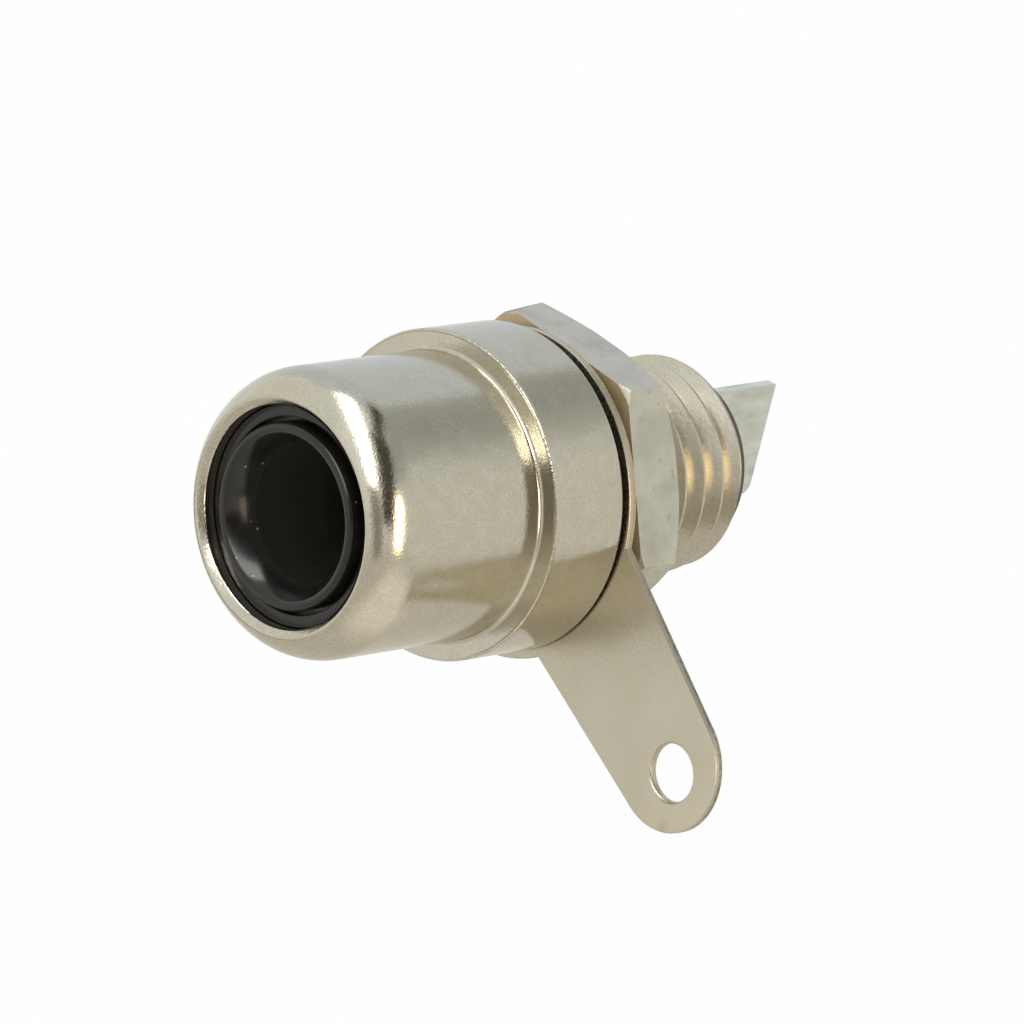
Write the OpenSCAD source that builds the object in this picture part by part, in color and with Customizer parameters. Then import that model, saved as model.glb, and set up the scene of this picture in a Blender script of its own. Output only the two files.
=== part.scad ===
// Panel-mount phono socket: a turned shell with a threaded barrel, its two insulators,
// the rolled centre contact, the solder tag and the nut that clamps them to a panel.
// Each piece is drawn along +Z and then laid along +Y, so the mouth faces -Y and the
// terminals point to +Y. Angles run clockwise from +X as seen from the mouth.
// The origin is on the axis, in the collar's front face, where a plug's skirt stops.

/* [Sleeve] */
// Diameter of the sleeve that the plug grips
sleeve_d = 8.3; // [8:0.1:9]
// Length from the collar to the front of the rim
sleeve_l = 6.2; // [5:0.1:9]
// Radius of the rounding from the sleeve to the rim
rim_round = 1.7; // [1.2:0.1:1.9]
// Diameter of the bore that holds the front insulator
bore_d = 6.3; // [6:0.05:6.6]
// Width of the flare at the bore's edge
flare_w = 0.23; // [0.1:0.01:0.3]
// Depth of the flare at the bore's edge
flare_l = 0.2; // [0.1:0.05:0.4]

/* [Collar] */
// Diameter of the collar
collar_d = 9.5; // [9.2:0.1:11]
// Length of the collar
collar_l = 2.75; // [2.2:0.05:4]
// Fillet where the sleeve meets the collar
corner_fillet = 0.12; // [0.05:0.01:0.2]
// Chamfer on the collar's two edges
collar_break = 0.06; // [0.02:0.01:0.15]
// Wall left between the bore and the barrel
web_t = 1.55; // [0.8:0.05:2]

/* [Barrel] */
// Crest diameter of the barrel's thread
thread_d = 6.35; // [6:0.05:7]
// Pitch of the thread
thread_pitch = 0.79; // [0.5:0.01:1]
// Length of the barrel behind the collar
barrel_l = 7.25; // [6.5:0.05:12]
// Diameter of the hole through the barrel
barrel_bore_d = 4.4; // [4.3:0.05:4.7]
// Length of the chamfer at the barrel's end
end_chamfer_l = 0.6; // [0.2:0.05:1]
// Width of the chamfer at the barrel's end
end_chamfer_w = 0.5; // [0.2:0.05:0.6]

/* [Front insulator] */
// Diameter of the hole that the plug's pin enters
pin_hole_d = 3.88; // [3.7:0.02:3.96]
// Diameter of the funnel that leads the pin into the hole
funnel_d = 4.36; // [4.2:0.02:4.5]
// Depth of the funnel's end below the bore's edge
funnel_l = 0.7; // [0.5:0.02:0.74]
// Depth of the hole's end, where the spring chamber starts, below the bore's edge
entry_l = 0.95; // [0.95:0.05:2]
// Diameter of the chamber in which the contact's fingers spread
chamber_d = 4.7; // [4.5:0.05:5]
// Outer diameter of the raised lip around the pin hole
lip_d = 5.18; // [5:0.02:5.3]
// Depth of the lip's crown below the bore's edge
lip_drop = 0.1; // [0:0.01:0.2]
// Depth of the shelf around the lip below the bore's edge
shelf_drop = 0.34; // [0.2:0.02:0.4]
// Width of the groove between lip and shelf
groove_w = 0.2; // [0.1:0.05:0.3]
// Depth of that groove below the shelf
groove_l = 0.5; // [0.2:0.05:0.55]
// Thickness of the floor that grips the contact behind its fingers
floor_t = 0.8; // [0.5:0.1:1.5]
// Thickness of the wall that stops the contact
stop_t = 0.8; // [0.5:0.1:1.5]

/* [Rear insulator] */
// Length of the bush inside the barrel
bush_l = 3.6; // [2:0.1:3.8]
// Diameter of the bush's flange
flange_d = 5.3; // [4.8:0.05:5.3]
// Thickness of the bush's flange
flange_t = 0.2; // [0.2:0.05:0.6]

/* [Centre contact] */
// Bore of the rolled contact, for a 3.2 mm pin
contact_bore_d = 3.26; // [3.1:0.02:3.3]
// Thickness of the contact's sheet
contact_t = 0.3; // [0.2:0.02:0.3]
// Depth of the contact's mouth below the bore's edge
contact_drop = 4.2; // [3.5:0.1:5]
// Length of the rolled tube
contact_l = 5; // [4.5:0.1:6]
// Width of the slots between the contact's fingers
slot_w = 0.3; // [0.2:0.05:0.4]
// Number of fingers
finger_count = 4; // [2:1:6]
// Width of the solder tail
tail_w = 3.55; // [2.4:0.05:3.6]
// Distance from the axis to the middle of the tail's sheet
tail_offset = 0.5; // [0.3:0.02:0.56]
// Length of tail that stands out behind the barrel
tail_reach = 4.2; // [2:0.05:8]
// Radius of the upper corner at the tail's end
tail_top_corner = 0.1; // [0.05:0.05:0.8]
// Radius of the lower corner at the tail's end
tail_low_corner = 0.35; // [0.05:0.05:0.8]
// Direction from the axis to the tail's flat
tail_angle = 198; // [0:1:359]

/* [Solder tag] */
// Thickness of the tag's sheet
tag_t = 0.3; // [0.2:0.05:0.6]
// Diameter of the tag's ring
tag_d = 9.78; // [9:0.02:12]
// Play of the ring on the thread, by which it hangs off the axis
tag_play = 0.22; // [0.05:0.01:0.3]
// Direction from the axis to the middle of the ring
tag_play_angle = 29; // [0:1:359]
// Direction in which the tail points
tag_angle = 51.4; // [0:0.1:359]
// Length from the middle of the ring to the tail's tip
tag_l = 11.45; // [10:0.05:16]
// Distance of the tail's middle line from the middle of the ring
tag_shift = 0.36; // [0:0.01:0.5]
// Width of the tapered tail, taken at the ring's middle
tag_root_w = 5.5; // [4:0.02:7]
// Diameter of the tail's rounded end
tag_end_d = 3.96; // [3:0.02:5]
// Diameter of the eye that takes the wire
eye_d = 1.66; // [1:0.02:2.4]
// Distance from the tail's tip to the middle of the eye
eye_edge = 1.66; // [1.5:0.02:2.4]

/* [Nut] */
// Width across the nut's flats
nut_af = 8.76; // [8:0.02:12]
// Thickness of the nut
nut_t = 1.77; // [1.5:0.01:3]
// Distance that the nut, run up by hand, stands behind the tag
nut_gap = 0.6; // [0.02:0.01:1]
// Width of the chamfer at the front of each corner
nut_front_cut = 0.2; // [0.05:0.01:0.6]
// Width of the chamfer at the rear of each corner
nut_rear_cut = 0.64; // [0.05:0.01:0.65]
// Slope of the corner chamfers
nut_slope = 32; // [15:1:40]
// Direction from the axis to one of the nut's corners
nut_angle = 23.5; // [0:0.5:59]

/* [Fits] */
// Clearance around pieces that are pushed into one another
push_gap = 0.02; // [0.01:0.01:0.05]
// Clearance between the nut's thread and the barrel's
thread_gap = 0.02; // [0.01:0.01:0.05]

/* [Hidden] */
$fn = 96;
nickel = "#b9b2a2";
tinned = "#c9c8c0";
black = "#1a1a1a";
over = 0.5;

sleeve_r = sleeve_d / 2;
bore_r = bore_d / 2;
collar_r = collar_d / 2;
crest_r = thread_d / 2;
// Half the depth of a 60 degree thread with an eighth of its height cut from the crest
pitch_r = crest_r - 0.375 * thread_pitch * sin(60);
barrel_bore_r = barrel_bore_d / 2;

// Stations along the axis, from the rim to the tail
rim_z = -sleeve_l;
mouth_z = rim_z + flare_l;
bore_end_z = collar_l - web_t;
tag_z = collar_l;
nut_z = tag_z + tag_t + nut_gap;
nut_end_z = nut_z + nut_t;
barrel_end_z = collar_l + barrel_l;
chamber_end_z = bore_end_z - floor_t;
contact_z = mouth_z + contact_drop;
contact_end_z = contact_z + contact_l;
fold_end_z = contact_end_z + contact_t;
stop_end_z = fold_end_z + stop_t;
bush_z = barrel_end_z - bush_l;
tail_end_z = barrel_end_z + tail_reach;

// The rim is an arc that leaves the sleeve tangentially and ends on the flare
rim_edge_r = bore_r + flare_w;
rim_centre_r = sleeve_r - rim_round;
rim_centre_z = rim_z + sqrt(rim_round ^ 2 - (rim_edge_r - rim_centre_r) ^ 2);

contact_bore_r = contact_bore_d / 2;
contact_r = contact_bore_r + contact_t;
seat_r = contact_r + push_gap;
plug_r = barrel_bore_r - push_gap;
lip_r = lip_d / 2;
chamber_r = chamber_d / 2;
funnel_r = funnel_d / 2;
pin_hole_r = pin_hole_d / 2;
lip_round = (lip_r - funnel_r) / 2;

// Lays a piece drawn along +Z along +Y
module lay() {
    rotate([-90, 0, 0])
        children();
}

// Turned piece from a half section in radius and height
module turned() {
    lay()
        rotate_extrude()
            children();
}

// Rectangle of a half section, between two radii and two heights
module band(r0, r1, z0, z1) {
    translate([r0, z0])
        square([r1 - r0, z1 - z0]);
}

// Section of the sleeve with its rounded rim
module sleeve_section() {
    difference() {
        band(0, sleeve_r, rim_z, collar_l / 2);
        difference() {
            band(rim_centre_r, sleeve_r + over, rim_z - over, rim_centre_z);
            translate([rim_centre_r, rim_centre_z])
                circle(rim_round);
        }
    }
}

// Section of the fillet between the sleeve and the collar's front face
module corner_section() {
    difference() {
        band(sleeve_r - over, sleeve_r + corner_fillet, -corner_fillet, over);
        translate([sleeve_r + corner_fillet, -corner_fillet])
            circle(corner_fillet);
    }
}

// Section of the collar with its broken edges
module collar_section() {
    polygon([
        [0, 0],
        [collar_r - collar_break, 0],
        [collar_r, collar_break],
        [collar_r, collar_l - collar_break],
        [collar_r - collar_break, collar_l],
        [0, collar_l],
    ]);
}

// Section of the barrel: its crest diameter where the thread is free, and the pitch
// diameter under the tag and the nut, where the two threads mesh
module barrel_section() {
    polygon([
        [0, collar_l - over],
        [pitch_r, collar_l - over],
        [pitch_r, nut_end_z],
        [crest_r, nut_end_z],
        [crest_r, barrel_end_z - end_chamfer_l],
        [crest_r - end_chamfer_w, barrel_end_z],
        [0, barrel_end_z],
    ]);
}

// Section of the bore, from the flare at the mouth to the hole through the barrel
module bore_section() {
    polygon([
        [0, rim_z - over],
        [rim_edge_r, rim_z - over],
        [rim_edge_r, rim_z],
        [bore_r, mouth_z],
        [bore_r, bore_end_z],
        [barrel_bore_r, bore_end_z],
        [barrel_bore_r, barrel_end_z + over],
        [0, barrel_end_z + over],
    ]);
}

module shell() {
    color(nickel)
        turned()
            difference() {
                union() {
                    sleeve_section();
                    corner_section();
                    collar_section();
                    barrel_section();
                }
                bore_section();
            }
}

// Section of the front insulator: the lip with its rounded crown and the funnel into the pin
// hole, the chamber and the contact's seat behind it, the stop, and the shelf with its groove
module insulator_section() {
    crest_z = mouth_z + lip_drop;
    crown_z = crest_z + lip_round;
    entry_z = mouth_z + entry_l;
    shelf_z = mouth_z + shelf_drop;
    groove_r = lip_r + groove_w;
    body_r = bore_r - push_gap;
    difference() {
        polygon([
            [funnel_r, crest_z],
            [funnel_r, crown_z],
            [pin_hole_r, mouth_z + funnel_l],
            [pin_hole_r, entry_z],
            [chamber_r, entry_z],
            [chamber_r, chamber_end_z],
            [seat_r, chamber_end_z],
            [seat_r, fold_end_z],
            [0, fold_end_z],
            [0, stop_end_z],
            [plug_r, stop_end_z],
            [plug_r, bore_end_z],
            [body_r, bore_end_z],
            [body_r, shelf_z],
            [groove_r, shelf_z],
            [groove_r, shelf_z + groove_l],
            [lip_r, shelf_z + groove_l],
            [lip_r, crest_z],
        ]);
        difference() {
            band(funnel_r - over, lip_r + groove_w / 2, crest_z - over, crown_z);
            translate([funnel_r + lip_round, crown_z])
                circle(lip_round);
        }
    }
}

// Slot that the flat tail passes through, between two heights
module tail_slot(z0, z1) {
    translate([0, 0, z0])
        linear_extrude(z1 - z0)
            tail_section(push_gap);
}

module front_insulator() {
    color(black)
        difference() {
            turned()
                insulator_section();
            lay()
                tail_slot(fold_end_z - over, stop_end_z + over);
        }
}

module rear_insulator() {
    color(black)
        difference() {
            turned() {
                band(0, plug_r, bush_z, barrel_end_z + flange_t / 2);
                band(0, flange_d / 2, barrel_end_z, barrel_end_z + flange_t);
            }
            lay()
                tail_slot(bush_z - over, barrel_end_z + flange_t + over);
        }
}

// Cross section of the flat tail, grown all round by a clearance
module tail_section(grow = 0) {
    rotate(tail_angle)
        translate([tail_offset - contact_t / 2 - grow, -tail_w / 2 - grow])
            square([contact_t + 2 * grow, tail_w + 2 * grow]);
}

// Rolled tube whose slots free its spring fingers as far as the chamber goes
module contact_tube() {
    difference() {
        translate([0, 0, contact_z])
            cylinder(h = contact_l, r = contact_r);
        translate([0, 0, contact_z - over])
            cylinder(h = contact_l + 2 * over, r = contact_bore_r);
        for (i = [0 : finger_count - 1])
            rotate(tail_angle + (i + 0.5) * 360 / finger_count)
                translate([0, -slot_w / 2, contact_z - over])
                    cube([contact_r + over, slot_w, chamber_end_z - contact_z + over]);
    }
}

// Fold across the back of the tube that carries the tail
module contact_fold() {
    translate([0, 0, contact_end_z])
        intersection() {
            cylinder(h = contact_t, r = contact_r);
            rotate(tail_angle)
                translate([tail_offset - contact_t / 2, -contact_r, 0])
                    cube([2 * contact_r, 2 * contact_r, contact_t]);
        }
}

// Flat solder tail with rounded end corners
module contact_tail() {
    difference() {
        translate([0, 0, contact_end_z])
            linear_extrude(tail_end_z - contact_end_z)
                tail_section();
        rotate(tail_angle)
            corner_waste(tail_top_corner);
        rotate(tail_angle)
            mirror([0, 1, 0])
                corner_waste(tail_low_corner);
    }
}

// What is cut from a square corner at the tail's end to round it
module corner_waste(corner) {
    translate([0, tail_w / 2 - corner, tail_end_z - corner])
        difference() {
            cube([tail_offset + contact_t, corner + over, corner + over]);
            translate([-over, 0, 0])
                rotate([0, 90, 0])
                    cylinder(h = tail_offset + contact_t + 2 * over, r = corner);
        }
}

module centre_contact() {
    color(tinned)
        lay() {
            contact_tube();
            contact_fold();
            contact_tail();
        }
}

// The tag's blank: a ring and a tail that tapers to its rounded end
module tag_blank() {
    tag_end_r = tag_end_d / 2;
    tag_root_r = tag_root_w / 2;
    end_x = tag_l - tag_end_r;
    cylinder(h = tag_t, r = tag_d / 2);
    translate([end_x, -tag_shift, 0])
        cylinder(h = tag_t, r = tag_end_r);
    translate([0, -tag_shift, 0])
        linear_extrude(tag_t)
            polygon([
                [0, tag_root_r],
                [end_x, tag_end_r],
                [end_x, -tag_end_r],
                [0, -tag_root_r],
            ]);
}

module solder_tag() {
    color(nickel)
        lay()
            rotate(tag_play_angle)
                translate([tag_play, 0, tag_z])
                    rotate(tag_angle - tag_play_angle)
                        difference() {
                            tag_blank();
                            translate([0, 0, -over])
                                cylinder(h = tag_t + 2 * over, r = crest_r + tag_play + push_gap);
                            translate([tag_l - eye_edge, -tag_shift, -over])
                                cylinder(h = tag_t + 2 * over, r = eye_d / 2);
                        }
}

module hex_nut() {
    corner_r = nut_af / 2 / cos(30);
    front_r = corner_r - nut_front_cut;
    rear_r = corner_r - nut_rear_cut;
    color(nickel)
        lay()
            rotate(nut_angle)
                difference() {
                    intersection() {
                        translate([0, 0, nut_z])
                            cylinder(h = nut_t, r = corner_r, $fn = 6);
                        rotate_extrude()
                            polygon([
                                [0, nut_z],
                                [front_r, nut_z],
                                [corner_r, nut_z + nut_front_cut * tan(nut_slope)],
                                [corner_r, nut_end_z - nut_rear_cut * tan(nut_slope)],
                                [rear_r, nut_end_z],
                                [0, nut_end_z],
                            ]);
                    }
                    translate([0, 0, nut_z - over])
                        cylinder(h = nut_t + 2 * over, r = pitch_r + thread_gap);
                }
}

shell();
front_insulator();
rear_insulator();
centre_contact();
solder_tag();
hex_nut();
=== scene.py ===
import bpy
import math
from mathutils import Matrix, Vector


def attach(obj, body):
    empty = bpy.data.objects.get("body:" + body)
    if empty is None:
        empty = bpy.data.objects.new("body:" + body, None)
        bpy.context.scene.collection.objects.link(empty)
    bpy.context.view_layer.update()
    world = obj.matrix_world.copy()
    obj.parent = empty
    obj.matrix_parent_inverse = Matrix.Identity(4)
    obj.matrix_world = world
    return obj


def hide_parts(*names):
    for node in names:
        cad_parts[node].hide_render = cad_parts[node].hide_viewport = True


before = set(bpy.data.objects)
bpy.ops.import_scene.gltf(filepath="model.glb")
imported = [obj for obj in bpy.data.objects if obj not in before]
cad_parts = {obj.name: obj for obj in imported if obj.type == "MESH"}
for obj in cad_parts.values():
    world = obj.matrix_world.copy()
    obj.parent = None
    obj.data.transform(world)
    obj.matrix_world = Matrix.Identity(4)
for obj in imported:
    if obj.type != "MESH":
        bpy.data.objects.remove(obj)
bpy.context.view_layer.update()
mm = 0.001
fullTurn = 2 * math.pi
# in millimetres
weld = 0.0004  # points closer than this are one
ringSlack = 0.004  # an edge this close to a turned ring lies on it
sheetSlack = 0.01  # the same for edges of the sheet pieces
cutPast = 0.3  # how far a cutter runs past the face it cuts


# Modelling helpers: sections are drawn in radius (X) and length (Y), in millimetres

def pickOnly(piece):
    bpy.ops.object.select_all(action="DESELECT")
    piece.select_set(True)
    bpy.context.view_layer.objects.active = piece


def startPiece(name):
    # a plane merged to one vertex, left open in edit mode for the pen
    bpy.ops.object.select_all(action="DESELECT")
    bpy.ops.mesh.primitive_plane_add(size=mm)
    piece = bpy.context.object
    piece.name = name
    bpy.ops.object.mode_set(mode="EDIT")
    bpy.ops.mesh.select_mode(type="VERT")
    bpy.ops.mesh.merge(type="CENTER")
    return piece


def drawLine(points):
    # a stroke is (x, y), or (x, y, centreX, centreY, steps) for an arc taken the short way round
    bpy.ops.transform.translate(value=(points[0][0] * mm, points[0][1] * mm, 0))
    pen = points[0]
    for stroke in points[1:]:
        if len(stroke) == 2:
            step = ((stroke[0] - pen[0]) * mm, (stroke[1] - pen[1]) * mm, 0)
            bpy.ops.mesh.extrude_region_move(TRANSFORM_OT_translate={"value": step})
        else:
            x, y, centreX, centreY, steps = stroke
            begin = math.atan2(pen[1] - centreY, pen[0] - centreX)
            end = math.atan2(y - centreY, x - centreX)
            turn = (end - begin + math.pi) % fullTurn - math.pi
            centre = (centreX * mm, centreY * mm, 0)
            # the spin operator turns against its angle's sign
            bpy.ops.mesh.spin(steps=steps, angle=-turn, center=centre, axis=(0, 0, 1))
        pen = stroke


def mergeAll():
    bpy.ops.mesh.select_all(action="SELECT")
    bpy.ops.mesh.remove_doubles(threshold=weld * mm)


def turnPiece(name, section, segments=192):
    piece = startPiece(name)
    drawLine(section + [section[0]])
    mergeAll()
    bpy.ops.mesh.spin(steps=segments, angle=fullTurn, center=(0, 0, 0), axis=(0, 1, 0))
    mergeAll()
    bpy.ops.mesh.normals_make_consistent(inside=False)
    bpy.ops.object.mode_set(mode="OBJECT")
    return piece


def pickEdges(piece, wanted):
    # selects the edges whose two ends pass the test, and opens edit mode on them
    pickOnly(piece)
    bpy.ops.object.mode_set(mode="EDIT")
    bpy.ops.mesh.select_mode(type="EDGE")
    bpy.ops.mesh.select_all(action="DESELECT")
    bpy.ops.object.mode_set(mode="OBJECT")
    points = piece.data.vertices
    for edge in piece.data.edges:
        ends = [points[i].co / mm for i in edge.vertices]
        edge.select = wanted(*ends)
    bpy.ops.object.mode_set(mode="EDIT")


def roundRings(piece, rings):
    # bevels turned edges, each given as radius, length, width and steps
    for radius, y, width, steps in rings:
        def onRing(a, b):
            return all(
                abs(math.hypot(p.x, p.z) - radius) < ringSlack and abs(p.y - y) < ringSlack
                for p in (a, b)
            )
        pickEdges(piece, onRing)
        bpy.ops.mesh.bevel(offset=width * mm, offset_type="OFFSET", segments=steps, affect="EDGES")
        bpy.ops.object.mode_set(mode="OBJECT")


def carve(piece, tool, operation):
    pickOnly(piece)
    bpy.ops.object.modifier_add(type="BOOLEAN")
    cut = piece.modifiers[-1]
    cut.operation = operation
    cut.object = tool
    cut.solver = "EXACT"
    bpy.ops.object.modifier_apply(modifier=cut.name)
    bpy.data.objects.remove(tool)


def breakEdges(piece, width, steps, angle):
    pickOnly(piece)
    bpy.ops.object.modifier_add(type="BEVEL")
    edge = piece.modifiers[-1]
    edge.width = width * mm
    edge.segments = steps
    edge.limit_method = "ANGLE"
    edge.angle_limit = math.radians(angle)
    bpy.ops.object.modifier_apply(modifier=edge.name)


def finishPiece(piece, node, material, angle=32):
    # smooth shading with the large faces kept true, and the piece's place in the frame
    pickOnly(piece)
    bpy.ops.object.transform_apply(location=True, rotation=True, scale=True)
    bpy.ops.object.shade_smooth_by_angle(angle=math.radians(angle))
    bpy.ops.object.modifier_add(type="WEIGHTED_NORMAL")
    piece.modifiers[-1].keep_sharp = True
    bpy.ops.object.modifier_apply(modifier=piece.modifiers[-1].name)
    piece.data.materials.clear()
    piece.data.materials.append(material)
    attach(piece, "root")
    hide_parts(node)
    print(piece.name, len(piece.data.polygons), "faces")


# Materials: every grain is drawn coarser than the real one, which is too fine to show

noiseLow = 0.3  # a noise's values lie mostly between these two
noiseHigh = 0.7


def srgb(hexColor):
    parts = [int(hexColor[i:i + 2], 16) / 255 for i in (1, 3, 5)]
    return [c / 12.92 if c <= 0.04045 else ((c + 0.055) / 1.055) ** 2.4 for c in parts] + [1]


def addNode(tree, kind, settings=None, links=None):
    # settings are properties or input values, links are input name to output socket
    node = tree.nodes.new(kind)
    for key, value in (settings or {}).items():
        if isinstance(key, str) and hasattr(node, key):
            setattr(node, key, value)
        else:
            node.inputs[key].default_value = value
    for key, source in (links or {}).items():
        tree.links.new(source, node.inputs[key])
    return node


def startMaterial(name):
    material = bpy.data.materials.new(name)
    material.use_nodes = True
    tree = material.node_tree
    return material, tree, tree.nodes["Principled BSDF"]


# Nickel-plated brass, turned and barrel-plated: a warm, soft mirror with the plating's fine grain,
# faintly clouded, and sparkling where the collar's edge and the mouth's edge have been knocked

brassLook = {
    "light": "#d3cfc2", "warm": "#c9c2b0", "fleck": "#c0baa9",
    "grain": 0.07, "cloud": 0.5, "knock": 0.12, "flecks": (0.35, 0.7),
    "smooth": 0.1, "dull": 0.19, "relief": 0.004,
    # zones that have been knocked: radius and length over which the marks come in, and their depth
    "collarEdge": (4.66, 4.72, 0.1, 0.03, 0.035), "mouthEdge": (3.42, 3.36, -5.9, -6.0, 0.007),
    "threadMarks": (2.4, 2.5, 5.2, 5.6, 0.004), "threadDull": 0.28,
}
nickelBrass, tree, shader = startMaterial("nickelPlatedBrass")
place = addNode(tree, "ShaderNodeTexCoord").outputs["Object"]
grain = addNode(tree, "ShaderNodeTexNoise", {
    "Scale": 1 / (brassLook["grain"] * mm), "Detail": 2,
}, {"Vector": place})
cloud = addNode(tree, "ShaderNodeTexNoise", {
    "Scale": 1 / (brassLook["cloud"] * mm), "Detail": 4,
}, {"Vector": place})
knock = addNode(tree, "ShaderNodeTexNoise", {
    "Scale": 1 / (brassLook["knock"] * mm), "Detail": 3,
}, {"Vector": place})
spread = addNode(tree, "ShaderNodeMapRange", {1: noiseLow, 2: noiseHigh}, {0: cloud.outputs[0]})
tone = addNode(tree, "ShaderNodeMix", {
    "data_type": "RGBA", 6: srgb(brassLook["light"]), 7: srgb(brassLook["warm"]),
}, {0: spread.outputs[0]})
flecks = addNode(tree, "ShaderNodeMapRange", {
    1: brassLook["flecks"][0], 2: brassLook["flecks"][1],
}, {0: grain.outputs[0]})
color = addNode(tree, "ShaderNodeMix", {"data_type": "RGBA", 7: srgb(brassLook["fleck"])}, {
    0: flecks.outputs[0], 6: tone.outputs[2],
})
gloss = addNode(tree, "ShaderNodeMapRange", {
    1: noiseLow, 2: noiseHigh, 3: brassLook["smooth"], 4: brassLook["dull"],
}, {0: grain.outputs[0]})
across = addNode(tree, "ShaderNodeVectorMath", {"operation": "MULTIPLY", 1: (1, 0, 1)}, {0: place})
radius = addNode(tree, "ShaderNodeVectorMath", {"operation": "LENGTH"}, {0: across.outputs[0]})
along = addNode(tree, "ShaderNodeSeparateXYZ", None, {0: place})
height = addNode(tree, "ShaderNodeMath", {
    "operation": "MULTIPLY", 1: brassLook["relief"],
}, {0: grain.outputs[0]})
for zoneName in ("collarEdge", "mouthEdge", "threadMarks"):
    rFrom, rTo, yFrom, yTo, depth = brassLook[zoneName]
    byRadius = addNode(tree, "ShaderNodeMapRange", {1: rFrom * mm, 2: rTo * mm}, {
        0: radius.outputs["Value"],
    })
    byLength = addNode(tree, "ShaderNodeMapRange", {1: yFrom * mm, 2: yTo * mm}, {0: along.outputs["Y"]})
    zone = addNode(tree, "ShaderNodeMath", {"operation": "MULTIPLY"}, {
        0: byRadius.outputs[0], 1: byLength.outputs[0],
    })
    dents = addNode(tree, "ShaderNodeMath", {"operation": "MULTIPLY"}, {
        0: zone.outputs[0], 1: knock.outputs[0],
    })
    height = addNode(tree, "ShaderNodeMath", {
        "operation": "MULTIPLY_ADD", 1: depth,
    }, {0: dents.outputs[0], 2: height.outputs[0]})
# the last zone is the thread, which is duller all over
gloss = addNode(tree, "ShaderNodeMix", {3: brassLook["threadDull"]}, {
    0: zone.outputs[0], 2: gloss.outputs[0],
})
bump = addNode(tree, "ShaderNodeBump", {"Distance": mm}, {"Height": height.outputs[0]})
shader.inputs["Metallic"].default_value = 1
tree.links.new(color.outputs[2], shader.inputs["Base Color"])
tree.links.new(gloss.outputs[0], shader.inputs["Roughness"])
tree.links.new(bump.outputs[0], shader.inputs["Normal"])


# Nickel-plated brass sheet, blanked on a press: a satin face, and torn edges that are bare and ragged,
# with painted shade darkening them along the tail

sheetLook = {
    # the darkest edge colour is painted shade, put on the edge along the tail
    "face": "#c9c3b2", "warm": "#c4bba6", "torn": "#b9a27a", "cut": "#857b65",
    "grain": 0.09, "cloud": 2.2, "tear": 0.09, "ragged": (0.25, 0.65),
    "smooth": 0.24, "dull": 0.34, "tornDull": 0.34, "relief": 0.0016, "tears": 0.006,
    # where the edge is bare: how far it is turned from the axis, the eye it leaves out, the height over
    # which it turns from painted shade to golden, and how deep in the tipped sheet it begins
    "edgeTurn": (0.75, 0.35), "eyeAt": (6.5, -7.7), "eyeR": 1.05, "shadeToGoldZ": (-4, -2),
    "across": (0.034, 1, -0.037), "tornFrom": 3.16, "tornTo": 3.2,
}
nickelSheet, tree, shader = startMaterial("nickelPlatedSheet")
place = addNode(tree, "ShaderNodeTexCoord").outputs["Object"]
grain = addNode(tree, "ShaderNodeTexNoise", {
    "Scale": 1 / (sheetLook["grain"] * mm), "Detail": 2,
}, {"Vector": place})
cloud = addNode(tree, "ShaderNodeTexNoise", {
    "Scale": 1 / (sheetLook["cloud"] * mm), "Detail": 4,
}, {"Vector": place})
tear = addNode(tree, "ShaderNodeTexNoise", {
    "Scale": 1 / (sheetLook["tear"] * mm), "Detail": 3,
}, {"Vector": place})
spread = addNode(tree, "ShaderNodeMapRange", {1: noiseLow, 2: noiseHigh}, {0: cloud.outputs[0]})
tone = addNode(tree, "ShaderNodeMix", {
    "data_type": "RGBA", 6: srgb(sheetLook["face"]), 7: srgb(sheetLook["warm"]),
}, {0: spread.outputs[0]})
gloss = addNode(tree, "ShaderNodeMapRange", {
    1: noiseLow, 2: noiseHigh, 3: sheetLook["smooth"], 4: sheetLook["dull"],
}, {0: grain.outputs[0]})
# the sheet stands across the axis, so what doesn't face along it is a cut edge
normal = addNode(tree, "ShaderNodeNewGeometry").outputs["Normal"]
facing = addNode(tree, "ShaderNodeSeparateXYZ", None, {0: normal})
turned = addNode(tree, "ShaderNodeMath", {"operation": "ABSOLUTE"}, {0: facing.outputs["Y"]})
edge = addNode(tree, "ShaderNodeMapRange", {
    1: sheetLook["edgeTurn"][0], 2: sheetLook["edgeTurn"][1],
}, {0: turned.outputs[0]})
ragged = addNode(tree, "ShaderNodeMapRange", {
    1: sheetLook["ragged"][0], 2: sheetLook["ragged"][1],
}, {0: tear.outputs[0]})
# golden on the ring, darkened by painted shade along the tail, and the eye's own edge is plated
eyeAt = Vector((sheetLook["eyeAt"][0], 0, sheetLook["eyeAt"][1])) * mm
fromEye = addNode(tree, "ShaderNodeVectorMath", {"operation": "SUBTRACT", 1: eyeAt}, {0: place})
fromEye = addNode(tree, "ShaderNodeVectorMath", {
    "operation": "MULTIPLY", 1: (1, 0, 1),
}, {0: fromEye.outputs[0]})
fromEye = addNode(tree, "ShaderNodeVectorMath", {"operation": "LENGTH"}, {0: fromEye.outputs[0]})
outer = addNode(tree, "ShaderNodeMath", {
    "operation": "GREATER_THAN", 1: sheetLook["eyeR"] * mm,
}, {0: fromEye.outputs["Value"]})
edge = addNode(tree, "ShaderNodeMath", {"operation": "MULTIPLY"}, {
    0: edge.outputs[0], 1: outer.outputs[0],
})
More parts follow.
